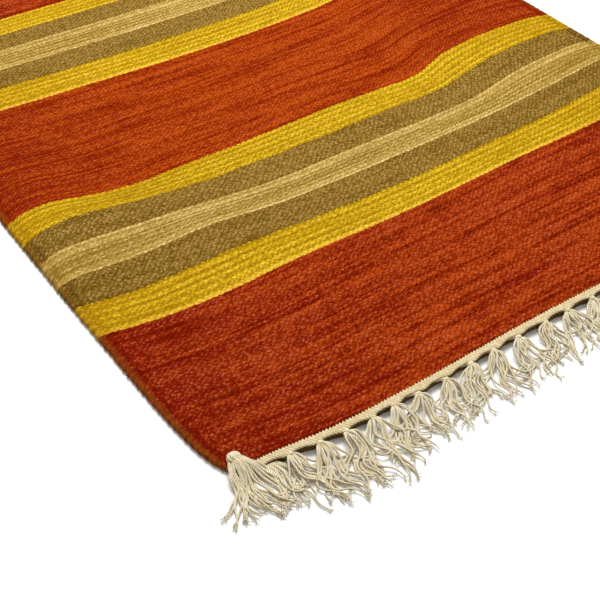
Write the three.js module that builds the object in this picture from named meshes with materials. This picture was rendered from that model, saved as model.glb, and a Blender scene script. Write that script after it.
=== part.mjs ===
// A small flat-woven kilim rug lying flat on the floor: a striped wool body, a cotton heading band
// woven along each end, and the warp ends knotted in bunches into a fringe. At one corner the
// outermost bunch has been flicked up, so that its knot lies on the cloth.
// Millimetres, +Z up. X runs across the rug with the wefts, Y runs along it with the warps, and the
// origin is at the middle of the underside.
import * as THREE from 'three';

// Overall sizes
const WIDTH = 600; // selvage to selvage at mid length
const BODY_LENGTH = 790; // wool cloth, from heading band to heading band
const BODY_THICKNESS = 4.5;
const EDGE_SOFTNESS = 1.2; // bevel round the wool cloth's edge
const CORNER_ROUND = 9; // the heading bands stop where the corners round off
const PIECE_GAP = 0.3; // clearance between neighbouring pieces

// Heading bands and fringes
const BAND_WIDTH = 6;
const BAND_THICKNESS = 3;
const BAND_LIFT = 1; // the band hangs from the wool's end, clear of the floor
const SPINE_WIDTH = 2; // warps crossing from a band to their knots
const FRINGE_HEIGHT = 4;
const FRINGE_REACH = 47; // usual length of a bunch past its band
const FRINGE_UNEVENNESS = 4; // how much longer or shorter a bunch may be
const BUNCH_COUNT = 25;
const CORNER_BUNCH_INSET = 24; // from a selvage to the outermost bunch's knot
const BUNCH_SWAY = 2.5; // how far a bunch's tip strays sideways
const BUNCH_SWEEP = -17; // how far the tips along the near end are brushed sideways
const SWEEP_START = 65; // distance from the left selvage where the brushing begins
const SWEEP_FULL = 150;
const BUNCH_PITCH = (WIDTH - 2 * CORNER_BUNCH_INSET) / (BUNCH_COUNT - 1);

// A bunch's outline: how far out a station is, as a share of its reach, and its half width
const BUNCH_STATIONS = [
  { out: 0, half: 5.5 }, // warps gathering in from the band
  { out: 0.09, half: 3.2 }, // knot
  { out: 0.17, half: 3.6 },
  { out: 0.5, half: 5.2 },
  { out: 0.85, half: 6 }, // strands spread apart
  { out: 1, half: 3.5 }, // uneven tips
];

// The wefts climb along the rug towards a selvage, then drop back at its cord
const BOW = { rise: 22, riseReach: 70, drop: 16.5, dropReach: 17.5 };
const BOW_FADE_START = 0.55; // share of the length past which the rows straighten
const BOW_FADE = 0.6; // share of the bow that is gone at the far end

// Each corner is drawn in, a little over a long stretch and more over the last few threads
const DRAW_IN = { slow: 6.5, slowReach: 110, sharp: 13, sharpReach: 17, depth: 30 };

// Slow waves in the near end's edge: distance from the left selvage and shift along the rug
const END_WAVE = [
  { at: 0, shift: 0 },
  { at: 55, shift: -3.4 },
  { at: 150, shift: -1 },
  { at: 265, shift: 3.4 },
  { at: 400, shift: 1 },
  { at: 520, shift: -2 },
  { at: WIDTH, shift: 0 },
];
const END_WAVE_REACH = 90; // the waves die away over this length of cloth

// The flicked-up corner bunch, from its knot end on the cloth to its tips on the floor
const TASSEL_KNOT = { x: 22.5, y: 22 };
const TASSEL_TIP = { x: 13, y: -36 };
const TASSEL_STATIONS = [
  { along: 0, half: 3, under: BODY_THICKNESS, over: 9 },
  { along: 0.08, half: 5, under: BODY_THICKNESS, over: 12 }, // knot
  { along: 0.18, half: 4.6, under: BODY_THICKNESS, over: 11.5 },
  { along: 0.36, half: 8, under: BODY_THICKNESS, over: 10 }, // crosses the rug's edge
  { along: 0.52, half: 12, under: 0, over: 8.5 }, // comes down on the floor
  { along: 0.76, half: 16, under: 0, over: 6.5 },
  { along: 0.92, half: 18, under: 0, over: 5 },
  { along: 1, half: 13, under: 0, over: 3.5 },
];

const END_STATIONS = 48; // points along an end, and along a side below
const SIDE_STATIONS = 36;
const CORNER_STATIONS = 5;

const woolMaterial = new THREE.MeshStandardMaterial({ color: 0xa03c14, roughness: 0.95, metalness: 0 });
const cottonMaterial = new THREE.MeshStandardMaterial({ color: 0xcfc0a0, roughness: 0.9, metalness: 0 });

const { smoothstep, lerp } = THREE.MathUtils;

/** How far a weft is pushed along the rug, at a distance `s` from the left selvage. */
function bow(s) {
  const inset = Math.max(0, Math.min(s, WIDTH - s));
  return BOW.rise * Math.exp(-inset / BOW.riseReach) - BOW.drop * Math.exp(-inset / BOW.dropReach);
}

/** Sideways pull at a selvage, at a distance `t` from the rug's nearer end. */
function drawIn(t) {
  const along = Math.max(0, Math.min(t, BODY_LENGTH - t));
  return DRAW_IN.slow * Math.exp(-along / DRAW_IN.slowReach)
    + DRAW_IN.sharp * Math.exp(-along / DRAW_IN.sharpReach);
}

/** Shift of the near end's edge, smooth between the rows of END_WAVE. */
function endWave(s) {
  const next = Math.max(1, END_WAVE.findIndex((row) => row.at >= s));
  const [from, to] = [END_WAVE[next - 1], END_WAVE[next]];
  return lerp(from.shift, to.shift, smoothstep(s, from.at, to.at));
}

/** Where the thread crossing (s across, t along) of an even weave lies on the real rug. */
function place(s, t) {
  const pull = drawIn(t);
  const x = s + pull * Math.exp(-s / DRAW_IN.depth) - pull * Math.exp(-(WIDTH - s) / DRAW_IN.depth);
  const keep = 1 - BOW_FADE * smoothstep(t / BODY_LENGTH, BOW_FADE_START, 1);
  const wave = endWave(THREE.MathUtils.clamp(s, 0, WIDTH)) * Math.exp(-Math.max(0, t) / END_WAVE_REACH);
  return new THREE.Vector2(x, t + bow(s) * keep + wave);
}

/** Position along the warps at a distance `out` beyond the near or far end of the wool. */
const beyond = (end, out) => (end === 'near' ? -out : BODY_LENGTH + out);

/** Flat piece: a plan outline raised to a height, with softened edges if asked for. */
function flatPiece(outline, height, softness = 0) {
  return new THREE.ExtrudeGeometry(new THREE.Shape(outline), {
    depth: height - 2 * softness,
    bevelEnabled: softness > 0,
    bevelThickness: softness,
    bevelSize: softness,
    bevelOffset: -softness,
    bevelSegments: 1,
  }).translate(0, 0, softness);
}

/** Values from `from` to `to`, closest together at both, where the cloth bends most. */
function stations(from, to, count) {
  const share = (i) => (1 - Math.cos((Math.PI * i) / count)) / 2;
  return Array.from({ length: count + 1 }, (_, i) => lerp(from, to, share(i)));
}

// Shared by the wool cloth, the bands and the fringes, so that their edges run side by side
const ACROSS = stations(CORNER_ROUND, WIDTH - CORNER_ROUND, END_STATIONS);
const ALONG = stations(CORNER_ROUND, BODY_LENGTH - CORNER_ROUND, SIDE_STATIONS);

/** Points inside one rounded corner of the even weave, turning left from the heading `start`. */
function cornerArc(s, t, start) {
  return Array.from({ length: CORNER_STATIONS - 1 }, (_, i) => {
    const angle = start + (Math.PI / 2) * ((i + 1) / CORNER_STATIONS);
    return place(s + CORNER_ROUND * Math.cos(angle), t + CORNER_ROUND * Math.sin(angle));
  });
}

/** The wool cloth: a rectangle with rounded corners, carried to where its threads really lie. */
function wovenBody() {
  const [left, right] = [CORNER_ROUND, WIDTH - CORNER_ROUND];
  const [bottom, top] = [CORNER_ROUND, BODY_LENGTH - CORNER_ROUND];
  const outline = [
    ...ACROSS.map((s) => place(s, 0)),
    ...cornerArc(right, bottom, -Math.PI / 2),
    ...ALONG.map((t) => place(WIDTH, t)),
    ...cornerArc(right, top, 0),
    ...ACROSS.map((s) => place(s, BODY_LENGTH)).reverse(),
    ...cornerArc(left, top, Math.PI / 2),
    ...ALONG.map((t) => place(0, t)).reverse(),
    ...cornerArc(left, bottom, Math.PI),
  ];
  return flatPiece(outline, BODY_THICKNESS, EDGE_SOFTNESS);
}

/** One edge of a strip along an end, at a distance `out` from the wool. */
const edgeAlong = (end, out, across) => across.map((s) => place(s, beyond(end, out)));

/** Cotton heading band along one end of the wool. */
function headingBand(end) {
  const inner = edgeAlong(end, PIECE_GAP, ACROSS);
  const outer = edgeAlong(end, PIECE_GAP + BAND_WIDTH, ACROSS);
  return flatPiece([...inner, ...outer.reverse()], BAND_THICKNESS).translate(0, 0, BAND_LIFT);
}

/** Outline of one bunch, out along one side of it and back along the other. */
function bunchOutline(end, root, index) {
  const centre = CORNER_BUNCH_INSET + index * BUNCH_PITCH;
  const sweep = end === 'near' ? BUNCH_SWEEP * smoothstep(centre, SWEEP_START, SWEEP_FULL) : 0;
  const lean = sweep + BUNCH_SWAY * Math.sin(index * 2.4);
  const reach = FRINGE_REACH + FRINGE_UNEVENNESS * Math.sin(index * 1.7);
  const side = (sign) => BUNCH_STATIONS.map(({ out, half }) => {
    const s = centre + lean * out ** 1.5 + sign * half;
    return place(s, beyond(end, root + SPINE_WIDTH + reach * out));
  });
  return [...side(1), ...side(-1).reverse()];
}

/** Fringe comb along one end: a spine of crossing warps and a tooth for each knotted bunch. */
function fringeComb(end, firstBunch) {
  const root = 2 * PIECE_GAP + BAND_WIDTH;
  const margin = CORNER_BUNCH_INSET - BUNCH_PITCH / 2;
  const across = ACROSS.filter((s) => s >= margin + firstBunch * BUNCH_PITCH && s <= WIDTH - margin);
  const outer = edgeAlong(end, root + SPINE_WIDTH, [across[0], across.at(-1)]);
  const outline = [...edgeAlong(end, root, across), outer[1]];
  for (let index = BUNCH_COUNT - 1; index >= firstBunch; index -= 1) {
    outline.push(...bunchOutline(end, root, index));
  }
  outline.push(outer[0]);
  return flatPiece(outline, FRINGE_HEIGHT);
}

/** Closed skin through a row of sections with the same number of points, capped at both ends. */
function loft(sections) {
  const count = sections[0].length;
  const triangles = [];
  for (let row = 0; row + 1 < sections.length; row += 1) {
    for (let k = 0; k < count; k += 1) {
      const [a, b] = [row * count + k, row * count + ((k + 1) % count)];
      triangles.push(a, b, b + count, a, b + count, a + count);
    }
  }
  const last = (sections.length - 1) * count;
  for (let k = 1; k + 1 < count; k += 1) {
    triangles.push(0, k + 1, k, last, last + k, last + k + 1);
  }
  const geometry = new THREE.BufferGeometry().setFromPoints(sections.flat());
  geometry.setIndex(triangles);
  geometry.computeVertexNormals();
  return geometry;
}

/** The corner bunch, lying over the corner from its knot down to its tips. */
function cornerTassel() {
  const knot = new THREE.Vector2(TASSEL_KNOT.x, TASSEL_KNOT.y);
  const axis = new THREE.Vector2(TASSEL_TIP.x, TASSEL_TIP.y).sub(knot);
  const across = new THREE.Vector2(-axis.y, axis.x).normalize();
  const section = ({ along, half, under, over }) => {
    const [low, high] = [under === 0 ? 0 : under + PIECE_GAP, over];
    const ring = [[-1, low], [1, low], [0.9, lerp(low, high, 0.6)], [0.45, high], [-0.45, high],
      [-0.9, lerp(low, high, 0.6)]];
    return ring.map(([side, z]) => {
      const p = knot.clone().addScaledVector(axis, along).addScaledVector(across, side * half);
      return new THREE.Vector3(p.x, p.y, z);
    });
  };
  return loft(TASSEL_STATIONS.map(section));
}

const rug = new THREE.Group();

/** Adds one named piece to the rug. */
function addPiece(name, geometry, material) {
  const piece = new THREE.Mesh(geometry, material);
  piece.name = name;
  rug.add(piece);
}

addPiece('woven_body', wovenBody(), woolMaterial);
for (const end of ['near', 'far']) {
  addPiece(`end_band_${end}`, headingBand(end), cottonMaterial);
}
addPiece('fringe_near', fringeComb('near', 1), cottonMaterial);
addPiece('fringe_far', fringeComb('far', 0), cottonMaterial);
addPiece('corner_tassel', cornerTassel(), cottonMaterial);

// The origin goes to the middle of the rug's footprint, on the floor
const middle = new THREE.Box3().setFromObject(rug).getCenter(new THREE.Vector3());
rug.position.set(-middle.x, -middle.y, 0);

export default rug;
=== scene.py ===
"""Striped kilim rug lying flat: wool cloth thread by thread, cotton heading bands and a knotted fringe.

Lengths in the tables below are millimetres. A point of the cloth is named by s, its distance from the left
selvage, and t, its distance from the near end of the wool; place() says where that point lies on the floor.
"""
import math

import bpy
import numpy as np
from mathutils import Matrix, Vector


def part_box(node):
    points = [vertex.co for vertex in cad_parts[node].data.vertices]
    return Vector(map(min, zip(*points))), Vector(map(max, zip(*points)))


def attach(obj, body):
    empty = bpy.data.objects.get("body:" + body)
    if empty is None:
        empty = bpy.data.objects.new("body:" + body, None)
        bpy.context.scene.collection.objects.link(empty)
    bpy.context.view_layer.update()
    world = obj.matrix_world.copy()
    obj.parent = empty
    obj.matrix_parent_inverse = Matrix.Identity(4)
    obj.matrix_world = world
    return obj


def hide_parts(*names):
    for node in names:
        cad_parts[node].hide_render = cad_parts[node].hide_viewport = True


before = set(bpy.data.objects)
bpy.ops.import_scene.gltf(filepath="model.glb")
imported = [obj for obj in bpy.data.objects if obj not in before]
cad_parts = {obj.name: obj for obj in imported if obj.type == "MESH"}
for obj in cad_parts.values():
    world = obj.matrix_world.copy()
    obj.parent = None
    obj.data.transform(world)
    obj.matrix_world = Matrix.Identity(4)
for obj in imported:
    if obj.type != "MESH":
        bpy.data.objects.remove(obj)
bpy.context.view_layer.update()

MM = 0.001

# Wool cloth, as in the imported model
WIDTH, LENGTH, THICKNESS = 600.0, 790.0, 4.5
# Picks climb towards each selvage and drop again at its very edge, less so over the far part of the length
BOW_RISE, BOW_RISE_REACH, BOW_DROP, BOW_DROP_REACH = 22.0, 70.0, 16.5, 17.5
BOW_FADE_START, BOW_FADE = 0.55, 0.6
# The selvages draw in towards each end, slowly and then sharply, and the cloth follows to some depth
DRAW_SLOW, DRAW_SLOW_REACH, DRAW_SHARP, DRAW_SHARP_REACH, DRAW_DEPTH = 6.5, 110.0, 13.0, 17.0, 30.0

# Threads: one warp every 2.7 mm, and picks as thick as each stripe's yarn
WARP = 2.7
WARPS = int(WIDTH / WARP)
PICK = {"brick": 2.1, "rust": 2.1, "gold": 2.2, "yellow": 2.4, "olive": 2.2, "tan": 2.15, "straw": 2.15}
MEAN_PICK = 2.15  # for patterns that cross the stripes
STRIPES = [  # yarn and width, from the near end to the far end
    ("brick", 157.2), ("gold", 2.2), ("yellow", 34.8), ("olive", 30.2), ("straw", 6.2), ("tan", 18.3),
    ("straw", 7.2), ("tan", 2.4), ("olive", 27.2), ("yellow", 33.3), ("rust", 156.1), ("gold", 2.6),
    ("yellow", 33.9), ("olive", 31.9), ("straw", 6.2), ("tan", 18.3), ("straw", 7.2), ("tan", 2.4),
    ("olive", 28.8), ("yellow", 30.1), ("brick", 153.5),
]
# How some picks wander: distance from the near end, then rows of distance from the left selvage and shift
PICK_WAVES = [
    (0.0, [(0, 0), (55, -3.4), (150, -1), (265, 3.4), (400, 1), (520, -2), (WIDTH, 0)]),
    (154.0, [(0, 6), (22, -2.5), (45, -5), (98, -4.5), (165, 0.8), (280, 1), (409, 3.5), (520, 0),
             (WIDTH, 0)]),
    (191.6, [(0, 6), (22, -2), (42, -5), (100, -1.3), (152, 1), (190, -0.3), (290, -3.6), (375, -2.6),
             (450, -1.8), (WIDTH, 0)]),
    (225.0, [(0, 3), (50, 1), (100, 4), (140, 7), (165, 4), (200, 0.3), (260, -1), (320, -1), (371, -1),
             (420, -0.8), (500, 0.5), (WIDTH, 0)]),
    (257.5, [(0, 0), (22, 2.7), (67, 3.2), (100, 2.6), (133, 1.2), (167, -2.4), (200, -5.2), (290, -5.9),
             (392, -7.3), (443, -5), (486, 2), (WIDTH, 0)]),
    (284.1, [(0, 2), (35, 8.8), (55, 11), (78, 8.8), (100, 5.7), (133, 2.2), (167, -0.8), (200, -1.2),
             (250, -1.8), (300, -2), (347, -1.2), (375, -2), (407, -3), (425, -2), (443, 1), (485, 9),
             (WIDTH, 3)]),
    (316.9, [(0, 0), (45, 4.5), (67, -0.5), (89, -4.6), (110, -6.3), (156, -4.2), (200, -4), (266, -2.2),
             (300, -0.7), (372, -3.7), (401, -5.5), (423, -2.5), (440, 4), (455, 9), (490, 13), (WIDTH, 3)]),
    (474.0, [(0, 0), (120, 0.2), (150, 0), (225, -2.6), (300, -4), (410, -1), (490, 9), (WIDTH, 2)]),
    (630.0, [(0, 0), (WIDTH, 0)]),
]

# Relief of the cloth
GRAIN, GRAIN_SPREAD = 0.1, 0.04  # rise of a pick over a warp, and how much it differs from grain to grain
STRAY = 0.25  # how far a crossing strays sideways from an even weave
FURROW = 0.35  # depth of the furrows between picks that lie closer together
# Share of that depth in the uneven furrows of each yarn, and how far along a pick they change
RUNS = {"brick": 1.1, "rust": 1.1, "gold": 0.3, "yellow": 0.4, "olive": 0.3, "tan": 0.6, "straw": 0.6}
RUN_STEP = 50.0
# In some yarns the picks bunch into ribs of this many, with furrows of this share between them
RIB_PICKS = {"yellow": 2.85, "tan": 2.5, "straw": 2.5}
RIB_SHARE = 0.95
CORD_RISE, CORD_AT, CORD_SPREAD = 0.5, 3.4, 2.6  # selvage cord
CREASE_DEPTH, CREASE_AT, CREASE_SPREAD = 0.5, 8.0, 1.5  # groove beside it
CREASE_FURROW = 0.8  # how much deeper the furrows are down in the groove
# Wefts turning round the selvage, by turns in and out
LOOP, LOOP_SPREAD, LOOP_PICKS, LOOP_FULL, LOOP_REACH = 1.0, 0.25, 3.1, 3.2, 8.0
SERRATION = 0.8  # teeth where wool and cotton picks interlock at the ends
END_THIN = 0.3  # share of the thickness left at the cut ends
# The ends curl up a little over a short stretch, but not at the corners
END_LIFT, LIFT_REACH, LIFT_CORNER_START, LIFT_CORNER = 3.0, 45.0, 10.0, 60.0
UNDERSIDE_COLUMNS, UNDERSIDE_INSET = 16, 5.0
SELVAGE_TURN = np.radians([80, 40, 0, -40, -80])

# Heading bands and fringes
CORNER_ROUND = 9.0
BAND_WIDTH, BAND_UNDER, BAND_OVER = 4.8, 2.6, 4.2
BAND_FOOT = 0.5  # height of the band's turned-under side, which stays down and is coloured with painted shade
BAND_SHADE_START, BAND_SHADE_FULL = 5.2, 5.6  # where the painted shade of its turned-under side starts and is full, measured over the band from its inner edge
BAND_PICK, BAND_GRAIN, BAND_RAGGED = 1.3, 0.1, 0.35
TOOTH_TIP, TOOTH_ROOT, TOOTH_SPREAD = -0.6, 0.2, 0.2  # its inner edge, measured out from the end of the wool
TOOTH_OVER, TOOTH_SUNK = 0.35, 0.5  # teeth lie above the wool, and the gaps between them below the band's top
SCALLOP, SCALLOP_START = 1.9, 2.0  # how far a bunch drags the band's edge outwards, and from where
BUNCHES, CORNER_BUNCH_INSET, BUNCH_WARPS = 25, 24.0, 8
BUNCH_PITCH = (WIDTH - 2 * CORNER_BUNCH_INSET) / (BUNCHES - 1)
# How far the knots of the near end sit from an even spacing: bunch number and shift
KNOT_STRAY = [(1, 4), (2, 3), (3, 1), (4, 1.5), (5, -3), (6, -6), (8, -4), (9, -5.5), (10, -3), (13, 0),
              (25, 0)]
KNOT_OUT = 7.4  # from the wool to the middle of a knot
KNOT_HEIGHT = 3.4
KNOT_SIZE = (3.0, 2.3, 2.2)  # half sizes across, along and up
KNOT_TIP, KNOT_SWELL = 0.12, 0.13  # half angle of its flat tips, and how much its lobes swell
KNOT_SPREAD_ACROSS, KNOT_SPREAD_OUT, KNOT_LIFT = 0.6, 0.8, 0.6  # knots lift with a share of the cloth's lift
GATHER_STEPS, GATHER_RADIUS, GATHER_SIDES = 7, 0.85, 6  # warps between the band and a knot
GATHER_SHARE, GATHER_RUN = 0.85, 0.6  # how much they draw together, and over what share of the way
GATHER_IN, GATHER_ARCH = 2.0, 0.4  # they start this far inside the band's edge, and arch up
STRANDS = 11  # in one bunch
STRAND_RADIUS, STRAND_TAPER = 0.9, 0.45
STRAND_STEPS, STRAND_SIDES = 28, 7
STRAND_SAG, STRAND_WAVE = 0.6, 0.4  # share of its height that a strand loses, and its slow rise and fall
# Two waves sway a strand: share of the most sway, number of waves along it, and where they start and are full
SWAYS = ((1.0, 1.0, 0.05, 0.35), (0.7, 2.2, 0.1, 0.5))
STRAND_SWAY, SWAY_LEAST, SWAY_STRAY = 0.75, 0.35, 0.7  # most sway, least share of it, and spread of the waves
ROOT_HALF, ROOT_OUT, ROOT_UP = 1.8, 0.6, (-0.8, 1.2)  # where strands leave a knot, measured from its middle
LEAN_SPREAD, HEADING_SPREAD, LENGTH_SPREAD = 0.12, 0.16, 0.08
CURL_SPREAD, WILD_SHARE, WILD_CURL = 0.5, 0.14, 4  # a few strands curl much more
STRAND_LIFT, STRAND_HUMP = 3.2, 2.5  # most height over the floor, and most hump
HUMP_RUN, SETTLE_RUN = 7.0, 22.0  # a strand humps up after leaving its knot and then settles on the floor
FRAYS, FRAY_RADIUS, FRAY_STEPS, FRAY_SIDES = 3, 0.3, 5, 4  # loose plies at the cut end of a strand
FRAY_REACH, FRAY_START, FRAY_SPREAD, FRAY_RISE = (2.5, 6.0), -0.15, 0.5, (-0.6, 1.2)
FRAY_THICK, FRAY_THIN = 1.6, 0.4  # shares of the radius at its root and tip
# Length of the strands, which are worn shorter away from the shown corner
FRINGE_REACH, FRINGE_WORN, WORN_START, WORN_FULL = 48.0, 9.0, 105.0, 150.0
FAN_START, FAN_END, FAN_TURN = 1.1, 0.12, 8.0  # strands leave a knot sideways and turn down within some mm
SWEEP_ANGLE, SWEEP_START, SWEEP_FULL = math.radians(-21), 65.0, 150.0

# Corner bunch lying over the corner of the cloth: its locks by heading in radians and length, and one lock
# that comes from under the band beside it
HEAD_AT = (21.5, 17.0, 8.0)
HEAD_SIZE = (4.7, 4.7, 3.1)
LOCK_HEADINGS = (-0.4, -0.16, 0.06, 0.28)
LOCK_LENGTHS = (47.0, 43.0, 50.0, 48.0)
LOCK_STRANDS, LOCK_SWAY, LOCK_FAN, LOCK_SPREAD, LOCK_LIFT, LOCK_HUMP = 8, 0.5, 0.06, 3.0, 3.5, 1
# Strands leave the head along an arch: its half angle and half width, and how far it goes each way
ARCH_TURN, ARCH_HALF, ARCH_BACK, ARCH_OUT, ARCH_DOWN, ARCH_UP = 1.45, 3.8, 0.5, 2.0, 1.2, 2.6
HEAD_LEAN, HEAD_FAN = 0.1, 0.7  # first heading of the middle strand, and how far the others fan out
HEAD_SPREAD, HANG_SPREAD = 0.08, 0.07  # spread of the first and last headings
UNDER_LOCK_AT, UNDER_LOCK_HALF, UNDER_LOCK_LENGTH = 33, 5, 38.0
UNDER_LOCK_START, UNDER_LOCK_END = (0.5, 0.4), (0.05, 0.15)  # its first and last headings and their fans
DRAPE_OUT, DRAPE_IN, DRAPE_OVER = 9, 3, 0.8  # strands come down over the band, and lie above the cloth

# Light of the surround at the floor's level and overhead, and its look behind the rug, as pale as the far
# floor; the softbox, and the floor, which lies a hair below the rug (metres)
HORIZON_LIGHT, OVERHEAD_LIGHT, BACKDROP_LIGHT = 0.02, 0.78, 0.45
SKY_LOW, SKY_HIGH = 0.3, 0.95  # heights on a unit sky between which it brightens
LAMP_AT, LAMP_AIM, LAMP_SIDE, LAMP_POWER = (0.45, 0.75, 1.9), (-0.1, -0.25, 0.0), 1.2, 58.0
FLOOR_REACH, FLOOR_GAP = 30.0, 0.0001

# Camera, from the square corner and the stripes of the photograph, beside the same corner of the rug
CAMERA_AT = (-215.2, -399.1, 584.5)
CAMERA_TURN, CAMERA_DOWN = math.radians(34.725), math.radians(42.588)
FOCAL_PIXELS, FRAME_PIXELS, SENSOR_MM = 1150.0, 600.0, 36.0


def smooth(x, low, high):
    """Smooth step: 0 below low, 1 above high, and 3k^2 - 2k^3 of the share k between them."""
    k = np.clip((x - low) / (high - low), 0, 1)
    return k * k * (3 - 2 * k)


def curve(x, rows):
    """Value at x of a smooth curve through rows of (at, value).

    The slope at a row comes from the rows beside it, and a cubic with those slopes joins one row to the next.
    """
    at, value = np.array(rows, float).T
    slope = np.gradient(value, at)
    k = np.clip(np.searchsorted(at, x, side="left"), 1, len(at) - 1)
    gap = at[k] - at[k - 1]
    w = np.clip((x - at[k - 1]) / gap, 0, 1)
    bulge = gap * w * (1 - w) * (slope[k - 1] * (1 - w) - slope[k] * w)
    return value[k - 1] + (value[k] - value[k - 1]) * smooth(w, 0, 1) + bulge


EDGES = np.concatenate([[0.0], np.cumsum([width for _, width in STRIPES])])
EDGES *= LENGTH / EDGES[-1]


def pick_wave(s, t):
    """Shift of a pick along the rug: the waves of the listed picks beside it, shared out between them."""
    at = np.array([row[0] for row in PICK_WAVES])
    values = np.stack([curve(np.clip(s, 0, WIDTH), row[1]) for row in PICK_WAVES])
    k = np.clip(np.searchsorted(at, t, side="right") - 1, 0, len(at) - 2)
    share = np.clip((t - at[k]) / (at[k + 1] - at[k]), 0, 1)
    low, high = (np.take_along_axis(values, (k + n)[None], axis=0)[0] for n in (0, 1))
    return low + (high - low) * share


def place(s, t):
    """Plan position of the thread crossing (s, t) of an even weave.

    Across: s, pulled in at each selvage by two exponentials of the distance to the nearer end.
    Along: t, plus a bow (one exponential of the distance to the nearer selvage less a shorter one, fading
    past mid length), plus the wander of the picks.
    """
    s, t = np.broadcast_arrays(np.asarray(s, float), np.asarray(t, float))
    along = np.clip(np.minimum(t, LENGTH - t), 0, None)
    pull = DRAW_SLOW * np.exp(-along / DRAW_SLOW_REACH) + DRAW_SHARP * np.exp(-along / DRAW_SHARP_REACH)
    x = s + pull * (np.exp(-s / DRAW_DEPTH) - np.exp(-(WIDTH - s) / DRAW_DEPTH))
    inset = np.clip(np.minimum(s, WIDTH - s), 0, None)
    bow = BOW_RISE * np.exp(-inset / BOW_RISE_REACH) - BOW_DROP * np.exp(-inset / BOW_DROP_REACH)
    keep = 1 - BOW_FADE * smooth(t / LENGTH, BOW_FADE_START, 1)
    return np.stack([x, t + bow * keep + pick_wave(s, t)], axis=-1)


# The plan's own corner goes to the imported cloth's corner
cloth_low = np.array(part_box("woven_body")[0])
PLAN_SHIFT = cloth_low[:2] / MM - np.array([
    place(0.0, np.linspace(0, LENGTH, 200))[:, 0].min(),
    place(np.linspace(CORNER_ROUND, WIDTH - CORNER_ROUND, 400), 0.0)[:, 1].min(),
])


def to_metres(points):
    """Plan millimetres to the model's frame in metres."""
    return (points + np.array([*PLAN_SHIFT, 0.0])) * MM


def linear(hex_colour):
    """sRGB hex to linear RGBA."""
    c = np.array([int(hex_colour[i:i + 2], 16) / 255 for i in (1, 3, 5)])
    return (*np.where(c <= 0.04045, c / 12.92, ((c + 0.055) / 1.055) ** 2.4), 1.0)


def ring_skin(rings):
    """Faces of a skin through rings (rings, points, 3): quads between them and a cap at each end.

    Faces are kept in blocks, which are index arrays (faces, corners).
    """
    n, k = rings.shape[:2]
    index = np.arange(n * k).reshape(n, k)
    after = np.roll(index, -1, axis=1)
    quads = np.stack([index[:-1], after[:-1], after[1:], index[1:]], axis=-1).reshape(-1, 4)
    return [quads, np.stack([index[0, ::-1], index[-1]])]


def tubes(paths, radii, sides):
    """Round tubes along paths (tubes, steps, 3): circles square to each path, and a point closing each end.

    Returns vertices, face blocks and for each vertex a turn number and a distance along its tube.
    """
    count, steps = paths.shape[:2]
    tangent = np.gradient(paths, axis=1)
    tangent /= np.linalg.norm(tangent, axis=-1, keepdims=True)
    side = np.cross(tangent, [0.0, 0.0, 1.0])
    side /= np.linalg.norm(side, axis=-1, keepdims=True) + 1e-9
    over = np.cross(side, tangent)
    turn = np.linspace(0, 2 * np.pi, sides, endpoint=False)
    circle = np.cos(turn)[:, None] * side[:, :, None] + np.sin(turn)[:, None] * over[:, :, None]
    rings = paths[:, :, None] + radii[:, :, None, None] * circle
    step = np.linalg.norm(np.diff(paths, axis=1), axis=-1)
    run = np.concatenate([np.zeros((count, 1)), np.cumsum(step, axis=1)], axis=1)
    ring_uv = np.stack(np.broadcast_arrays(turn / (2 * np.pi), run[:, :, None]), axis=-1)
    index = np.arange(count * steps * sides).reshape(count, steps, sides)
    after = np.roll(index, -1, axis=2)
    quads = np.stack([index[:, :-1], index[:, 1:], after[:, 1:], after[:, :-1]], axis=-1).reshape(-1, 4)
    start = index.size + np.arange(count)[:, None]
    first = np.stack(np.broadcast_arrays(start, index[:, 0], after[:, 0]), axis=-1).reshape(-1, 3)
    last = np.stack(np.broadcast_arrays(start + count, after[:, -1], index[:, -1]), axis=-1).reshape(-1, 3)
    vertices = np.concatenate([rings.reshape(-1, 3), paths[:, 0], paths[:, -1]])
    ends = np.stack([np.zeros(2 * count), np.concatenate([run[:, 0], run[:, -1]])], axis=-1)
    faces = [quads, np.concatenate([first, last])]
    return vertices, faces, np.concatenate([ring_uv.reshape(-1, 2), ends])


def beads(centres, size, lobes=5, ridges=2, around=18, rows=11):
    """Tight yarn knots: ellipsoids whose radius swells in slanting lobes, like the turns of the yarn.

    The swell is a cosine of the angle from the tip and the turn round the axis, times the lobes and ridges.
    """
    turn = np.linspace(0, 2 * np.pi, around, endpoint=False)[None, :]
    tip = np.linspace(KNOT_TIP, np.pi - KNOT_TIP, rows)[:, None]
    swell = 1 + KNOT_SWELL * np.cos(lobes * tip + ridges * turn)
    unit = np.stack([np.sin(tip) * np.cos(turn), np.cos(tip) + 0 * turn, np.sin(tip) * np.sin(turn)], -1)
    shape = unit * swell[..., None] * np.array(size)
    vertices = (shape.reshape(1, -1, 3) + centres[:, None]).reshape(-1, 3)
    start = (np.arange(len(centres)) * around * rows)[:, None, None]
    faces = [(block + start).reshape(-1, block.shape[1]) for block in ring_skin(shape)]
    uv = np.stack(np.broadcast_arrays(turn / (2 * np.pi), tip * size[1]), axis=-1).reshape(-1, 2)
    return vertices, faces, np.tile(uv, (len(centres), 1))


def joined(parts):
    """One set of vertices, face blocks and coordinates from several."""
    start = np.cumsum([0] + [len(part[0]) for part in parts])
    faces = [block + first for part, first in zip(parts, start) for block in part[1]]
    return np.concatenate([part[0] for part in parts]), faces, np.concatenate([part[2] for part in parts])


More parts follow.
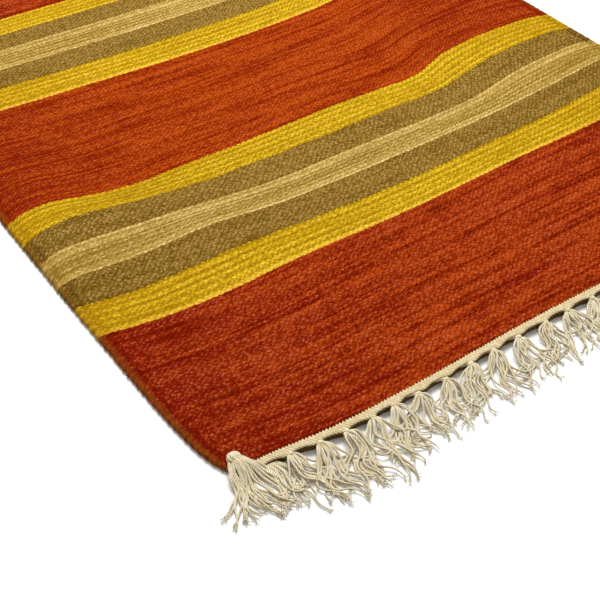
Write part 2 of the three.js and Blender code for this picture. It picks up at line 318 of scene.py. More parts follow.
def make_piece(name, vertices, faces, maps, material, replaced):
    """Mesh object at the origin from plan millimetres, with UV maps given by vertex or by face corner."""
    mesh = bpy.data.meshes.new(name)
    mesh.from_pydata(to_metres(vertices).tolist(), [], [face for block in faces for face in block.tolist()])
    mesh.polygons.foreach_set("use_smooth", np.ones(len(mesh.polygons), bool))
    corner = np.empty(len(mesh.loops), np.int32)
    mesh.loops.foreach_get("vertex_index", corner)
    for map_name, uv in maps.items():
        by_corner = uv[corner] if len(uv) == len(vertices) else uv
        mesh.uv_layers.new(name=map_name).data.foreach_set("uv", by_corner.astype(np.float32).ravel())
    mesh.materials.append(material)
    mesh.update()
    piece = bpy.data.objects.new(name, mesh)
    bpy.context.scene.collection.objects.link(piece)
    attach(piece, "root")
    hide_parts(replaced)
    return piece


def add(tree, kind, *inputs, named=None, **settings):
    """Adds one shader node, sets its settings, and links or sets its inputs in order or by name."""
    node = tree.nodes.new("ShaderNode" + kind)
    for key, value in settings.items():
        setattr(node, key, value)
    for key, value in [*enumerate(inputs), *(named or {}).items()]:
        if isinstance(value, bpy.types.Node):
            value = value.outputs[0]
        if isinstance(value, bpy.types.NodeSocket):
            tree.links.new(value, node.inputs[key])
        elif value is not None:
            node.inputs[key].default_value = value
    return node


def new_material(name):
    """Node material with one Principled surface; returns the material, its tree and that shader."""
    material = bpy.data.materials.new(name)
    material.use_nodes = True
    tree = material.node_tree
    tree.nodes.clear()
    shader = add(tree, "BsdfPrincipled")
    add(tree, "OutputMaterial", shader)
    return material, tree, shader


# Wool yarns: shade is the painted shade down between the grains, deep and bright the range a dye lot runs
# over, and tip the paler fuzz with painted highlight on top of a grain
YARN = {
    "brick": {"shade": "#5a0900", "deep": "#7c1702", "bright": "#ab3f0b", "tip": "#bd6640"},
    "rust": {"shade": "#681100", "deep": "#842102", "bright": "#ad4306", "tip": "#bb6531"},
    "gold": {"shade": "#a8781a", "deep": "#cc9c28", "bright": "#e0b238", "tip": "#ecc85e"},
    "yellow": {"shade": "#906a06", "deep": "#be930e", "bright": "#dbb622", "tip": "#edd062"},
    "olive": {"shade": "#412d08", "deep": "#775919", "bright": "#8b6a28", "tip": "#b99b5e"},
    "tan": {"shade": "#7a5e1c", "deep": "#a8873c", "bright": "#d0af62", "tip": "#e6cf94"},
    "straw": {"shade": "#92752f", "deep": "#bb9b52", "bright": "#dabb74", "tip": "#ecd8a0"},
}


def weave_lattice(tree, weave):
    """Splits weave coordinates (warp number, pick number) into grains.

    A pick shows where warp number plus pick number is even, so the grains sit on a diagonal lattice. Returns
    the grain's own whole numbers on that lattice, its pick number, and the offset from its middle.
    """
    half_sum = add(tree, "VectorMath", weave, (0.5, 0.5, 0), operation="DOT_PRODUCT").outputs["Value"]
    half_gap = add(tree, "VectorMath", weave, (0.5, -0.5, 0), operation="DOT_PRODUCT").outputs["Value"]
    spot = add(tree, "CombineXYZ", half_sum, half_gap)
    shifted = add(tree, "VectorMath", spot, (0.5, 0.5, 0), operation="ADD")
    grain = add(tree, "VectorMath", shifted, operation="FLOOR")
    inside = add(tree, "VectorMath", spot, grain, operation="SUBTRACT")
    across = add(tree, "VectorMath", inside, (1, 1, 0), operation="DOT_PRODUCT").outputs["Value"]
    along = add(tree, "VectorMath", inside, (1, -1, 0), operation="DOT_PRODUCT").outputs["Value"]
    pick = add(tree, "VectorMath", grain, (1, -1, 0), operation="DOT_PRODUCT").outputs["Value"]
    return grain, pick, across, along


def wool_material():
    """Hand-spun wool, dyed in the yarn and woven weft-faced.

    The eye gets rows of small slanting grains that run thick and thin, with painted shade down between them
    and paler fuzz with painted highlight on top, in cross stripes whose dye goes lighter and darker for a
    hand's breadth along a pick.
    """
    material, tree, shader = new_material("hand_spun_wool")
    weave = add(tree, "UVMap", uv_map="thread")
    lie = add(tree, "SeparateXYZ", add(tree, "UVMap", uv_map="lie"))
    furrow, inset = lie.outputs["X"], lie.outputs["Y"]

    # The yarn runs thick and thin, so the grains stray by about a third of their own size
    loose_at = add(tree, "VectorMath", weave, (0.25, 0.6, 0), operation="MULTIPLY")
    loose = add(tree, "TexNoise", loose_at, named={"Scale": 1.0, "Detail": 1.0})
    centred = add(tree, "VectorMath", loose.outputs["Color"], (0.5, 0.5, 0.5), operation="SUBTRACT")
    shift = add(tree, "VectorMath", centred, (2.2, 0.8, 0), operation="MULTIPLY")
    uneven = add(tree, "VectorMath", weave, shift, operation="ADD")
    grain, pick, across, along = weave_lattice(tree, uneven)
    chance = add(tree, "TexWhiteNoise", grain, noise_dimensions="2D")
    own = chance.outputs["Value"]
    slant = add(tree, "Math", across, -0.25, along, operation="MULTIPLY_ADD")
    offset = add(tree, "CombineXYZ", across, slant)
    offset = add(tree, "VectorMath", offset, (0.75, 1.15, 0), operation="MULTIPLY")
    nudge = add(tree, "VectorMath", chance.outputs["Color"], (0.5, 0.5, 0.5), operation="SUBTRACT")
    nudge = add(tree, "VectorMath", nudge, (0.7, 0.5, 0), operation="MULTIPLY")
    nudged = add(tree, "VectorMath", offset, nudge, operation="ADD")
    reach = add(tree, "VectorMath", nudged, operation="LENGTH").outputs["Value"]
    dome = add(tree, "MapRange", reach, 0.0, 0.85, 1.0, 0.0, interpolation_type="SMOOTHSTEP")

    # Number of the stripe, whose edge is toothed by a fifth of a pick, and its yarn
    mark = add(tree, "SeparateXYZ", add(tree, "UVMap", uv_map="stripe")).outputs["X"]
    row = add(tree, "SeparateXYZ", weave).outputs["Y"]
    uneven_row = add(tree, "SeparateXYZ", uneven).outputs["Y"]
    level = add(tree, "Math", uneven_row, 4.0, pick, operation="MULTIPLY_ADD")
    back = add(tree, "Math", row, -1.0, operation="MULTIPLY")
    tooth = add(tree, "Math", level, 0.2, back, operation="MULTIPLY_ADD")
    toothed = add(tree, "Math", tooth, 0.5, mark, operation="MULTIPLY_ADD")
    number = add(tree, "Math", toothed, operation="FLOOR")
    stripe = add(tree, "Math", number, 1 / len(STRIPES), 0.5 / len(STRIPES), operation="MULTIPLY_ADD")
    ramps = {}
    for role in ("shade", "deep", "bright", "tip"):
        ramp = add(tree, "ValToRGB", stripe)
        ramp.color_ramp.interpolation = "CONSTANT"
        stops = ramp.color_ramp.elements
        for n, (yarn, _) in enumerate(STRIPES):
            stop = stops[n] if n < 2 else stops.new(n / len(STRIPES))
            stop.position = n / len(STRIPES)
            stop.color = linear(YARN[yarn][role])
        ramps[role] = ramp.outputs["Color"]

    # Dye lots: streaks about 90 mm long and one or two picks tall, and broader ones of about 120 by 12 mm;
    # the colour is also darker towards the selvages
    lot_at = add(tree, "VectorMath", weave, (WARP / 90, 0.8, 0), operation="MULTIPLY")
    lot = add(tree, "TexNoise", lot_at, named={"Scale": 1.0, "Detail": 1.5, "Roughness": 0.5}).outputs[0]
    broad_at = add(tree, "VectorMath", weave, (WARP / 120, 0.17, 7), operation="MULTIPLY")
    broad = add(tree, "TexNoise", broad_at, named={"Scale": 1.0, "Detail": 2.0, "Roughness": 0.55}).outputs[0]
    dye = add(tree, "Math", broad, 0.35, operation="MULTIPLY")
    dye = add(tree, "Math", lot, 0.65, dye, operation="MULTIPLY_ADD")
    dye = add(tree, "Math", own, 0.12, dye, operation="MULTIPLY_ADD")
    toward_middle = add(tree, "MapRange", inset, 0.0, 160.0, -0.12, 0.03)
    dye = add(tree, "MapRange", add(tree, "Math", dye, toward_middle, operation="ADD"), 0.43, 0.68)

    # Fibres: flecks about 2.6 mm long and 0.85 mm wide, slanting as the yarn was spun. Real fibres are too
    # fine to show, so these are drawn coarser
    spun = add(tree, "Mapping", weave,
               named={"Rotation": (0, 0, math.radians(-27)), "Scale": (WARP, MEAN_PICK, 1)})
    fleck_at = add(tree, "VectorMath", spun, (1 / 2.6, 1 / 0.85, 1), operation="MULTIPLY")
    fleck = add(tree, "TexNoise", fleck_at, named={"Scale": 1.0, "Detail": 2.0, "Roughness": 0.6}).outputs[0]

    relief = add(tree, "Math", fleck, 1.4, -0.19, operation="MULTIPLY_ADD")
    relief = add(tree, "Math", dome, 0.34, relief, operation="MULTIPLY_ADD")
    relief = add(tree, "Math", own, 0.12, relief, operation="MULTIPLY_ADD")
    relief = add(tree, "Math", furrow, -0.42, relief, operation="MULTIPLY_ADD")
    dyed = add(tree, "MixRGB", dye, ramps["deep"], ramps["bright"])
    # Painted shade and highlight: the colour goes to the yarn's shade where the relief is low, between the
    # grains and in the furrows, and to its tip where the relief is high, on top of the grains
    shaded_grains = add(tree, "MixRGB", add(tree, "MapRange", relief, 0.22, 0.74), ramps["shade"], dyed)
    fuzz_and_highlight = add(tree, "MixRGB", add(tree, "MapRange", relief, 0.72, 1.12, 0.0, 0.9), shaded_grains, ramps["tip"])

    # Rubbed and dusty along the selvages, with painted shade in the same brown, most of all down between the
    # turning loops
    edge = add(tree, "MapRange", inset, 0.5, 7.0, 1.3, 0.0)
    between = add(tree, "MapRange", furrow, 0.0, 1.0, 0.25, 1.0)
    dust_and_shade = add(tree, "Math", edge, between, operation="MULTIPLY")
    dust_and_shade = add(tree, "Math", dust_and_shade, lot, operation="MULTIPLY")
    coloured = add(tree, "MixRGB", dust_and_shade, fuzz_and_highlight, linear("#8f5c1c"))
    tree.links.new(coloured.outputs[0], shader.inputs["Base Color"])

    bump = add(tree, "Bump", named={"Height": relief.outputs[0], "Strength": 0.7, "Distance": 0.0006})
    tree.links.new(bump.outputs[0], shader.inputs["Normal"])
    shader.inputs["Roughness"].default_value = 0.95
    shader.inputs["Specular IOR Level"].default_value = 0.03
    return material


def heading_material():
    """Undyed cotton, woven tightly over the warp ends.

    The eye gets fine even grains in cream, with painted shade between them and little fuzz, and a dark brown
    painted shade on the side where it turns under, for the shadow beneath the band.
    """
    material, tree, shader = new_material("undyed_cotton_weave")
    weave = add(tree, "UVMap", uv_map="thread")
    grain, _, across, along = weave_lattice(tree, weave)
    slant = add(tree, "Math", across, -0.5, along, operation="MULTIPLY_ADD")
    offset = add(tree, "CombineXYZ", across, add(tree, "Math", slant, 1.2, operation="MULTIPLY"))
    reach = add(tree, "VectorMath", offset, operation="LENGTH").outputs["Value"]
    dome = add(tree, "MapRange", reach, 0.1, 1.05, 1.0, 0.0, interpolation_type="SMOOTHSTEP")
    own = add(tree, "TexWhiteNoise", grain, noise_dimensions="2D")
    cream = add(tree, "MixRGB", own.outputs["Value"], linear("#c8b58a"), linear("#e0d0aa"))
    # Painted shade: the colour darkens between the grains, where the dome is low
    woven = add(tree, "MixRGB", add(tree, "MapRange", dome, 0.0, 0.5), linear("#bba67a"), cream)
    row = add(tree, "SeparateXYZ", weave).outputs["Y"]
    # Painted shade: the turned-under side, which hangs from the band's outer edge down to the floor, is dark
    # brown to stand for the shadow beneath the band
    under = add(tree, "MapRange", row, BAND_SHADE_START / BAND_PICK, BAND_SHADE_FULL / BAND_PICK)
    coloured = add(tree, "MixRGB", under, woven, linear("#65491a"))
    tree.links.new(coloured.outputs[0], shader.inputs["Base Color"])
    bump = add(tree, "Bump", named={"Height": dome.outputs[0], "Strength": 0.5, "Distance": 0.0004})
    tree.links.new(bump.outputs[0], shader.inputs["Normal"])
    shader.inputs["Roughness"].default_value = 0.9
    shader.inputs["Specular IOR Level"].default_value = 0.15
    return material


def yarn_material():
    """Plied undyed cotton warp.

    The eye gets ivory strands with slanting plies and painted shade in the hollows between them.
    """
    material, tree, shader = new_material("plied_cotton_warp")
    thread = add(tree, "SeparateXYZ", add(tree, "UVMap", uv_map="thread"))
    ply_length = 4.5  # one turn of a three-ply yarn
    turn, along = thread.outputs["X"], thread.outputs["Y"]
    twist = add(tree, "Math", along, 1.0 / ply_length, turn, operation="MULTIPLY_ADD")
    angle = add(tree, "Math", twist, 3 * 2 * math.pi, operation="MULTIPLY")
    wave = add(tree, "Math", angle, operation="SINE")
    ply = add(tree, "MapRange", wave, -1.0, 1.0)
    spot = add(tree, "TexCoord").outputs["Object"]
    tone = add(tree, "TexNoise", spot, named={"Scale": 1 / (6 * MM), "Detail": 3.0, "Roughness": 0.65})
    cream = add(tree, "MixRGB", add(tree, "MapRange", tone.outputs[0], 0.32, 0.68),
                linear("#dacda8"), linear("#fbf5e4"))
    # Painted shade: the hollows between the plies are darker and browner
    coloured = add(tree, "MixRGB", add(tree, "MapRange", ply, 0.0, 0.7), linear("#bfa872"), cream)
    tree.links.new(coloured.outputs[0], shader.inputs["Base Color"])
    bump = add(tree, "Bump", named={"Height": ply.outputs[0], "Strength": 0.6, "Distance": 0.0004})
    tree.links.new(bump.outputs[0], shader.inputs["Normal"])
    shader.inputs["Roughness"].default_value = 0.85
    shader.inputs["Specular IOR Level"].default_value = 0.15
    return material


def pick_table():
    """Distance of every pick from the near end, and its stripe mark.

    The mark is the number of the stripe plus a quarter at its first pick and three quarters at its last, so
    it passes a whole number halfway between two stripes.
    """
    counts = [round(width / PICK[yarn]) for yarn, width in STRIPES]
    spans = zip(EDGES[:-1], EDGES[1:], counts)
    middles = [low + (high - low) * (np.arange(n) + 0.5) / n for low, high, n in spans]
    marks = [number + np.linspace(0.25, 0.75, count) for number, count in enumerate(counts)]
    return np.concatenate(middles), np.concatenate(marks)


def end_lift(s, t):
    """Height of the cloth off the floor.

    A smooth step up over the last stretch of each end, times a smooth step that keeps the corners down.
    """
    to_end = np.minimum(t, LENGTH - t)
    inset = np.minimum(s, WIDTH - s)
    return END_LIFT * (1 - smooth(to_end, 0, LIFT_REACH)) * smooth(inset, LIFT_CORNER_START, LIFT_CORNER)


def pick_furrows(rng, s, rows):
    """Furrows between the picks, in shares of their depth: uneven runs, and even ribs in some yarns.

    Uneven runs are random values along a pick, joined by straight lines and cubed. Ribs are a raised cosine
    over a few picks. Beside the selvages a raised cosine over the turning loops takes their place, and the
    groove next to the cord adds a bell.
    """
    knots = np.linspace(0, WIDTH, int(WIDTH / RUN_STEP) + 1)
    runs = np.stack([np.interp(s, knots, values) for values in rng.random((len(rows), len(knots)))])
    which = np.clip(np.searchsorted(EDGES, rows, side="right") - 1, 0, len(STRIPES) - 1)
    depth = np.array([RUNS[STRIPES[k][0]] for k in which])[:, None] * runs ** 3
    number = np.arange(len(rows))
    for yarn, picks in RIB_PICKS.items():
        in_yarn = np.array([STRIPES[k][0] == yarn for k in which])
        rib = 0.5 - 0.5 * np.cos(2 * np.pi * number / picks)
        depth[in_yarn] += RIB_SHARE * rib[in_yarn, None]
    loop = 0.5 - 0.5 * np.cos(2 * np.pi * number / LOOP_PICKS)
    inset = np.minimum(s, WIDTH - s)
    beside = 1 - smooth(inset, LOOP_FULL, LOOP_REACH)
    groove = CREASE_FURROW * np.exp(-((inset - CREASE_AT) / CREASE_SPREAD) ** 2)
    return depth + (loop[:, None] - depth) * beside + groove


def woven_cloth(picks, marks):
    """The cloth as a skin with a vertex at every crossing of warp and pick.

    Each ring runs along one pick: over the top from warp to warp, raised where the pick passes over and sunk
    where it passes under, round the right selvage, back underneath, and round the left selvage. Every grain
    has its own height and strays a little. Beside each selvage a bell-shaped rise makes the cord and a narrow
    bell-shaped dip the groove next to it. Returns the rings and their maps: thread (warp number, pick
    number), lie (furrow depth, distance from the selvage) and stripe (stripe mark).
    """
    rng = np.random.default_rng(3)
    rows = np.concatenate([[0.0], picks, [LENGTH]])
    number = np.concatenate([[-0.5], np.arange(len(picks)), [len(picks) - 0.5]])
    warp = np.arange(1, WARPS - 1)
    top_s = (warp + 0.5) * WARP
    turn_s = WIDTH - THICKNESS / 2 * (1 - np.cos(SELVAGE_TURN))
    under_s = np.linspace(WIDTH - UNDERSIDE_INSET, UNDERSIDE_INSET, UNDERSIDE_COLUMNS)
    s = np.concatenate([top_s, turn_s, under_s, WIDTH - turn_s[::-1]])
    turn_z = THICKNESS / 2 * (1 + np.sin(SELVAGE_TURN))
    z = np.concatenate([np.full(len(top_s), THICKNESS), turn_z, np.zeros(len(under_s)), turn_z[::-1]])
    top = slice(0, len(top_s))

    parity = 1 - 2 * ((warp[None, :] + np.arange(len(rows))[:, None] - 1) % 2)
    inset = np.minimum(s, WIDTH - s)
    cord = CORD_RISE * np.exp(-((inset - CORD_AT) / CORD_SPREAD) ** 2)
    crease = CREASE_DEPTH * np.exp(-((inset - CREASE_AT) / CREASE_SPREAD) ** 2)
    furrow = pick_furrows(rng, s, rows)
    z = np.tile(z, (len(rows), 1))
    z[:, top] += (cord - crease)[top] + GRAIN * parity + rng.normal(0, GRAIN_SPREAD, parity.shape)
    z[:, top] -= FURROW * furrow[:, top]
    z[[0, -1]] = THICKNESS / 2 + END_THIN * (z[[0, -1]] - THICKNESS / 2)
    z += end_lift(s[None, :], rows[:, None])

    across = np.tile(s, (len(rows), 1))
    along = np.tile(rows[:, None], (1, len(s)))
    across[1:-1, top] += rng.uniform(-STRAY, STRAY, parity[1:-1].shape)
    along[1:-1, top] += rng.uniform(-STRAY, STRAY, parity[1:-1].shape)
    loops = LOOP * (0.5 - furrow[:, -1:] + rng.normal(0, LOOP_SPREAD, (len(rows), 1)))
    across[:, len(top_s):len(top_s) + len(turn_s)] += loops * np.cos(SELVAGE_TURN)
    across[:, -len(turn_s):] -= loops * np.cos(SELVAGE_TURN)
    along[0, top] -= SERRATION * parity[1]
    along[-1, top] += SERRATION * parity[-2]
    rings = np.concatenate([place(across, along), z[..., None]], axis=-1)
    maps = {"thread": (s[None, :] / WARP - 0.5, number[:, None]), "lie": (furrow, inset[None, :]),
            "stripe": (np.pad(marks, 1, mode="edge")[:, None], 0 * furrow)}
    return rings, {name: np.stack(np.broadcast_arrays(*pair), axis=-1) for name, pair in maps.items()}


def cloth_bake_map(rows, columns):
    """UV map for baking the cloth, by face corner.

    The left selvage, top and right selvage fill a sheet of u from 0 to 0.76, the underside one from 0.77 to
    1, both up to v of 0.985, and each cut end is a thin strip above them.
    """
    sheet_width, under_from, sheet_height = 0.76, 0.77, 0.985
    strip_at, strip_half, strip_step = 0.99, 0.002, 0.006
    turns = len(SELVAGE_TURN)
    tops = columns - UNDERSIDE_COLUMNS - 2 * turns
    column = np.arange(columns)
    after = (column + 1) % columns
    over = sheet_width * ((np.arange(columns + 1) + turns) % columns) / (tops + 2 * turns - 1)
    under_step = (1 - under_from) / (UNDERSIDE_COLUMNS + 1)
    under = under_from + under_step * (column - tops - turns + 1)
    is_under = (column >= tops + turns - 1) & (column < tops + turns + UNDERSIDE_COLUMNS)
    u_low = np.where(is_under, under, over[column])
    u_high = np.where(is_under, under + under_step, over[after])
    v = sheet_height * np.arange(rows) / (rows - 1)
    corner_u = np.stack([u_low, u_high, u_high, u_low], axis=-1)
    corner_v = np.stack([v[:-1], v[:-1], v[1:], v[1:]], axis=-1)
    sides = np.stack(np.broadcast_arrays(corner_u[None], corner_v[:, None]), axis=-1).reshape(-1, 2)
    turn = 2 * np.pi * column / columns
    cap = np.stack([sheet_width / 2 * (1 + np.cos(turn)), strip_at + strip_half * np.sin(turn)], axis=-1)
    return np.concatenate([sides, cap[::-1], cap + [0, strip_step]])


def heading_band(end):
    """Cotton heading: a flat section carried from corner to corner along one end, two stations to a warp.

    The section runs outwards over the top through rows of fine picks, raised and sunk by turns, down to the
    floor, and back underneath. Its inner edge is toothed over the wool, and each bunch drags its outer edge
    out a little.
    """
    rng = np.random.default_rng(8)
    skipped = math.ceil(CORNER_ROUND / WARP)
    station = np.arange(2 * skipped, 2 * (WARPS - skipped))
    s = (station / 2 + 0.5) * WARP
    tooth = (station % 2)[:, None]
    out = np.array([0.0, 1.1, 2.2, 3.3, 4.2, BAND_WIDTH + 0.3, BAND_WIDTH, BAND_WIDTH - 0.7, 1.0])
    fall = np.array([0.0, 0.0, 0.05, 0.1, 0.2, 0.9, BAND_OVER - BAND_UNDER, BAND_OVER, BAND_OVER])
    run = np.concatenate([[0], np.cumsum(np.hypot(np.diff(out), np.diff(fall)))])
    parity = 1 - 2 * ((station[:, None] + np.arange(len(out))[None, :]) % 2)
    height = BAND_OVER - fall + BAND_GRAIN * parity * (fall < 0.5)
    height[:, :1] = np.where(tooth, THICKNESS + TOOTH_OVER, BAND_OVER - TOOTH_SUNK)
    bunch = (s - CORNER_BUNCH_INSET) / BUNCH_PITCH
    drag = SCALLOP * np.cos(np.pi * (bunch - np.round(bunch))) ** 4
    outward = out + drag[:, None] * smooth(out, SCALLOP_START, BAND_WIDTH)
    outward[:, :1] = np.where(tooth, TOOTH_TIP, TOOTH_ROOT) + rng.normal(0, TOOTH_SPREAD, tooth.shape)
    outward[:, 5:7] += np.interp(s, s[::9], rng.normal(0, BAND_RAGGED, len(s[::9])))[:, None]
    t = -outward if end == "near" else LENGTH + outward
    height = np.where(fall < BAND_OVER, height + end_lift(s[:, None], t), BAND_FOOT)
    rings = np.concatenate([place(s[:, None], t), height[..., None]], axis=-1)
    weave = np.stack(np.broadcast_arrays(station[:, None].astype(float), run[None, :] / BAND_PICK), axis=-1)
    if end == "far":
        rings, weave = rings[:, ::-1], weave[:, ::-1]
    return rings, weave


def strand_paths(rng, bunches, roots, first, last, length, sway_most, curl, lift, rise):
    """Free strands on the floor, as paths (strands, steps, 3).

    A strand leaves its root at its first heading (0 straight out from the near end, positive towards +X) and
    turns to its last one, exponentially with the distance run. Two slow sine waves, nearly alike in all the
    strands of a bunch, sway it, and it curls with the square of the distance. Adding up steps in that heading
    gives the plan. From the root it humps up and then falls to the floor, above which the strands under it
    hold it.
    """
    count = len(roots)
    each = count // bunches
    w = np.linspace(0, 1, STRAND_STEPS)[None, :]
    run = length[:, None] * w
    phase = np.repeat(rng.uniform(0, 2 * np.pi, (2, bunches, 1)), each, axis=1)
    phase = phase + rng.normal(0, SWAY_STRAY, (2, count, 1))
    sway = rng.uniform(SWAY_LEAST, 1.0, (2, count, 1)) * sway_most
    angle = last[:, None] + (first - last)[:, None] * np.exp(-run / FAN_TURN)
    for n, (share, waves, start, full) in enumerate(SWAYS):
        angle = angle + share * sway[n] * np.sin(2 * np.pi * waves * w + phase[n]) * smooth(w, start, full)
    angle = angle + curl[:, None] * w ** 2
    step = (length / (STRAND_STEPS - 1))[:, None]
    plan = np.cumsum(np.stack([np.sin(angle), -np.cos(angle)], axis=-1) * step[..., None], axis=1)
    plan = roots[:, None, :2] + plan - plan[:, :1]
    wave = STRAND_WAVE * np.sin(2 * np.pi * w + phase[0])
    floor = STRAND_RADIUS + lift[:, None] * (1 - STRAND_SAG * w) + wave
    hump = rise[:, None] * run / HUMP_RUN * np.exp(1 - run / HUMP_RUN)
    z = floor + (roots[:, 2:] - floor) * (1 - smooth(run, 0, SETTLE_RUN)) + hump
    return np.concatenate([plan, np.maximum(z, STRAND_RADIUS)[..., None]], axis=-1)


def strand_tubes(rng, paths):
    """Strands as tubes that thin with the cube of the way along, and the loose plies of each cut end.

    A ply is a thin tube that leaves in a heading of its own, bends evenly and tapers.
    """
    w = np.linspace(0, 1, paths.shape[1])
    radii = np.tile(STRAND_RADIUS * (1 - STRAND_TAPER * w ** 3), (len(paths), 1))
    ends = np.repeat(paths[:, -1], FRAYS, axis=0)
    ahead = np.repeat(paths[:, -1] - paths[:, -3], FRAYS, axis=0)
    heading = np.arctan2(ahead[:, 1], ahead[:, 0]) + rng.normal(0, FRAY_SPREAD, len(ends))
    reach = rng.uniform(*FRAY_REACH, len(ends))
    k = np.linspace(FRAY_START, 1, FRAY_STEPS)
    bend = heading[:, None] + rng.normal(0, FRAY_SPREAD, (len(ends), 1)) * k
    toward = np.stack([np.cos(bend), np.sin(bend), 0 * bend], axis=-1)
    plies = ends[:, None] + (reach[:, None] * k)[..., None] * toward
    plies[..., 2] += rng.uniform(*FRAY_RISE, (len(ends), 1)) * k
    plies[..., 2] = np.maximum(plies[..., 2], FRAY_RADIUS)
    thin = np.tile(FRAY_RADIUS * np.linspace(FRAY_THICK, FRAY_THIN, FRAY_STEPS), (len(ends), 1))
    return joined([tubes(paths, radii, STRAND_SIDES), tubes(plies, thin, FRAY_SIDES)])


def fringe(end, first, seed):
    """Fringe along one end: warps gathering from the band into knots, and the strands of each bunch.

    The gathering warps draw together by a smooth step and arch up by a sine. The strands of a bunch fan out
    evenly round its lean, and each has its own length, curl and height.
    """
    rng = np.random.default_rng(seed)
    number = np.arange(first, BUNCHES)
    stray = curve(number.astype(float), KNOT_STRAY) if end == "near" else 0.0
    stray = stray + rng.normal(0, KNOT_SPREAD_ACROSS, len(number))
    centre = CORNER_BUNCH_INSET + number * BUNCH_PITCH + stray
    outward = KNOT_OUT + rng.normal(0, KNOT_SPREAD_OUT, len(number))
    beyond = (lambda out: -out) if end == "near" else (lambda out: LENGTH + out)
    height = KNOT_HEIGHT + KNOT_LIFT * end_lift(centre, 0.0)
    knots = np.concatenate([place(centre, beyond(outward)), height[:, None]], axis=-1)

    # Warps of a bunch, drawn together from under the band's edge to the knot
    spread = (np.arange(BUNCH_WARPS) - (BUNCH_WARPS - 1) / 2) * BUNCH_PITCH / (BUNCH_WARPS + 0.2)
    w = np.linspace(0, 1, GATHER_STEPS)
    gather_s = centre[:, None, None] + spread[None, :, None] * (1 - GATHER_SHARE * smooth(w, 0, GATHER_RUN))
    gather_from = BAND_WIDTH - GATHER_IN
    gather_t = beyond(gather_from + (outward[:, None, None] - gather_from) * w)
    plan = place(gather_s, np.broadcast_to(gather_t, gather_s.shape))
    rise = height[:, None, None] + GATHER_ARCH * np.cos(spread)[None, :, None] * np.sin(np.pi * w)
    gather = np.concatenate([plan, np.broadcast_to(rise, plan.shape[:-1])[..., None]], axis=-1)
    gather = gather.reshape(-1, GATHER_STEPS, 3)

    sweep = SWEEP_ANGLE * smooth(centre, SWEEP_START, SWEEP_FULL) if end == "near" else 0 * centre
    lean = sweep + rng.normal(0, LEAN_SPREAD, len(number))
    fan = np.linspace(-1, 1, STRANDS)[None, :]
    rough = rng.normal(0, HEADING_SPREAD, (2, len(number), STRANDS))
    first_heading = (lean[:, None] + FAN_START * fan + rough[0]).ravel()
    last_heading = (lean[:, None] + FAN_END * fan + rough[1]).ravel()
    roots = np.repeat(knots, STRANDS, axis=0)
    roots[:, 0] += np.tile(fan[0] * ROOT_HALF, len(number))
    roots[:, 1] += -ROOT_OUT if end == "near" else ROOT_OUT
    roots[:, 2] += rng.uniform(*ROOT_UP, len(roots))
    worn = FRINGE_WORN * smooth(centre, WORN_START, WORN_FULL) if end == "near" else 0 * centre
    length = rng.normal(1.0, LENGTH_SPREAD, len(roots)) * np.repeat(FRINGE_REACH - worn, STRANDS)
    curl = rng.normal(0, CURL_SPREAD, len(roots))
    wild = rng.random(len(roots)) < WILD_SHARE
    curl[wild] *= WILD_CURL
    lift = rng.uniform(0.0, STRAND_LIFT, len(roots))
    if end == "far":
        first_heading, last_heading = np.pi - first_heading, np.pi - last_heading
    rise = rng.uniform(0, STRAND_HUMP, len(roots))
    paths = strand_paths(rng, len(number), roots, first_heading, last_heading, length, STRAND_SWAY, curl,
                         lift, rise)
    gathered = tubes(gather, np.full(gather.shape[:2], GATHER_RADIUS), GATHER_SIDES)
    return joined([strand_tubes(rng, paths), gathered, beads(knots, KNOT_SIZE)])


def corner_bunch(seed):
    """The outermost bunch flicked over the corner: its head on the cloth and its strands fanning down off it.

    Most strands leave the head in an arch over its front. One lock comes out from under the band beside it.
    """
    rng = np.random.default_rng(seed)
    head = np.array(HEAD_AT)
    fan = np.linspace(-1, 1, len(LOCK_HEADINGS) * LOCK_STRANDS)
    beside = np.linspace(-1, 1, LOCK_STRANDS)
    count = len(fan) + len(beside)
    arch = np.cos(ARCH_TURN * fan)
    arched = [ARCH_HALF * fan, ARCH_BACK - ARCH_OUT * arch, ARCH_UP * arch - ARCH_DOWN]
    over = head + np.stack(arched, axis=-1)
    under_at = place(UNDER_LOCK_AT + UNDER_LOCK_HALF * beside, -BAND_WIDTH)
    under = np.concatenate([under_at, np.full((LOCK_STRANDS, 1), BAND_UNDER)], axis=-1)
    roots = np.concatenate([over, under])
    under_first, under_last = (middle + half * beside for middle, half in (UNDER_LOCK_START, UNDER_LOCK_END))
    first = np.concatenate([HEAD_LEAN + HEAD_FAN * fan, under_first]) + rng.normal(0, HEAD_SPREAD, count)
    hang = np.repeat(LOCK_HEADINGS, LOCK_STRANDS) + np.tile(LOCK_FAN * beside, len(LOCK_HEADINGS))
    last = np.concatenate([hang, under_last]) + rng.normal(0, HANG_SPREAD, count)
    length = np.repeat([*LOCK_LENGTHS, UNDER_LOCK_LENGTH], LOCK_STRANDS) + rng.normal(0, LOCK_SPREAD, count)
    curl = rng.normal(0, CURL_SPREAD, count)
    lift = rng.uniform(0, LOCK_LIFT, count)
    rise = rng.uniform(0, LOCK_HUMP, count)
    paths = strand_paths(rng, len(LOCK_HEADINGS) + 1, roots, first, last, length, LOCK_SWAY, curl, lift, rise)
    edge = place(np.clip(paths[..., 0], 0, WIDTH), 0.0)[..., 1]
    on_cloth = smooth(paths[..., 1], edge - BAND_WIDTH - DRAPE_OUT, edge - BAND_WIDTH + DRAPE_IN)
    resting = STRAND_RADIUS + (THICKNESS + DRAPE_OVER) * on_cloth
    resting[len(fan):] = STRAND_RADIUS
    paths[..., 2] = np.maximum(paths[..., 2], resting)
    crest = beads(head[None, :], HEAD_SIZE, lobes=1, ridges=9, around=36, rows=16)
    return joined([strand_tubes(rng, paths), crest])


# Build the pieces
wool = wool_material()
band_cotton = heading_material()
warp_cotton = yarn_material()

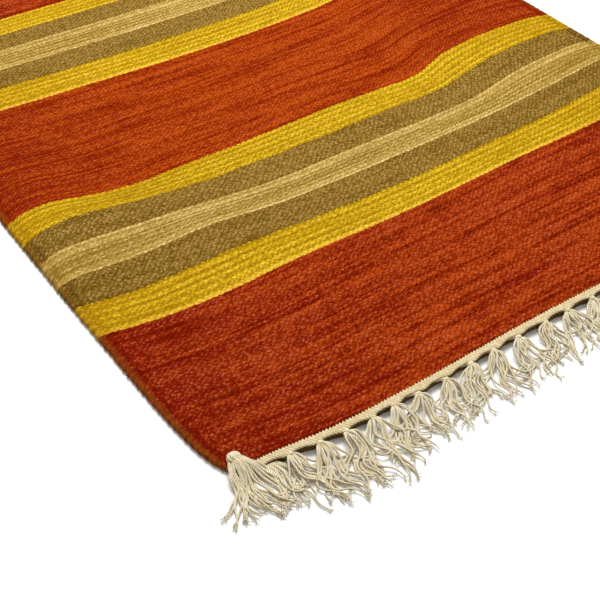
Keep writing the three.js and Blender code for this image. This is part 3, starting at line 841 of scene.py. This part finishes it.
cloth_rings, cloth_maps = woven_cloth(*pick_table())
cloth_maps = {name: values.reshape(-1, 2) for name, values in cloth_maps.items()}
cloth_maps["OFBake"] = cloth_bake_map(*cloth_rings.shape[:2])
cloth = make_piece("kilim_cloth", cloth_rings.reshape(-1, 3), ring_skin(cloth_rings), cloth_maps,
                   wool, "woven_body")
for end, first, seed in (("near", 1, 11), ("far", 0, 23)):
    band_rings, band_weave = heading_band(end)
    make_piece(f"heading_{end}", band_rings.reshape(-1, 3), ring_skin(band_rings),
                                {"thread": band_weave.reshape(-1, 2)}, band_cotton,
                                f"end_band_{end}")
    vertices, faces, thread = fringe(end, first, seed)
    make_piece(f"knotted_fringe_{end}", vertices, faces, {"thread": thread}, warp_cotton,
                                f"fringe_{end}")
vertices, faces, thread = corner_bunch(5)
make_piece("corner_bunch", vertices, faces, {"thread": thread}, warp_cotton,
                            "corner_tassel")


def studio():
    """Pale floor, a broad soft light above and behind the rug, a surround paler overhead, and the camera."""
    scene = bpy.context.scene
    floor_mesh = bpy.data.meshes.new("floor")
    corners = ((-1, -1), (1, -1), (1, 1), (-1, 1))
    floor_mesh.from_pydata([(FLOOR_REACH * x, FLOOR_REACH * y, -FLOOR_GAP) for x, y in corners], [],
                           [(0, 1, 2, 3)])
    material, _, shader = new_material("matt_white_paint")
    shader.inputs["Base Color"].default_value = linear("#fafafa")
    shader.inputs["Roughness"].default_value = 0.95
    floor_mesh.materials.append(material)
    floor = bpy.data.objects.new("floor", floor_mesh)
    scene.collection.objects.link(floor)

    world = bpy.data.worlds.new("studio")
    scene.world = world
    world.use_nodes = True
    sky = world.node_tree
    height = add(sky, "SeparateXYZ", add(sky, "TexCoord").outputs["Generated"]).outputs["Z"]
    upright = add(sky, "Math", height, operation="ABSOLUTE")
    strength = add(sky, "MapRange", upright, SKY_LOW, SKY_HIGH, HORIZON_LIGHT, OVERHEAD_LIGHT)
    seen = add(sky, "LightPath").outputs["Is Camera Ray"]
    strength = add(sky, "Mix", seen, None, strength, BACKDROP_LIGHT, data_type="FLOAT")
    sky.nodes["Background"].inputs["Color"].default_value = (1.0, 0.99, 0.97, 1.0)
    sky.links.new(strength.outputs[0], sky.nodes["Background"].inputs["Strength"])

    lamp = bpy.data.lights.new("softbox", "AREA")
    lamp.shape = "RECTANGLE"
    lamp.size, lamp.size_y = LAMP_SIDE, LAMP_SIDE
    lamp.energy = LAMP_POWER
    softbox = bpy.data.objects.new("softbox", lamp)
    softbox.location = LAMP_AT
    aim = np.array(LAMP_AIM) - np.array(LAMP_AT)
    softbox.rotation_euler = (math.acos(-aim[2] / np.linalg.norm(aim)), 0, math.atan2(-aim[0], aim[1]))
    scene.collection.objects.link(softbox)

    lens = bpy.data.cameras.new("camera")
    lens.sensor_width = SENSOR_MM
    lens.lens = FOCAL_PIXELS / FRAME_PIXELS * SENSOR_MM
    camera = bpy.data.objects.new("camera", lens)
    camera.location = to_metres(np.array(CAMERA_AT))
    camera.rotation_euler = (math.pi / 2 - CAMERA_DOWN, 0, -CAMERA_TURN)
    scene.collection.objects.link(camera)
    scene.camera = camera
    scene.view_settings.view_transform = "Standard"


studio()
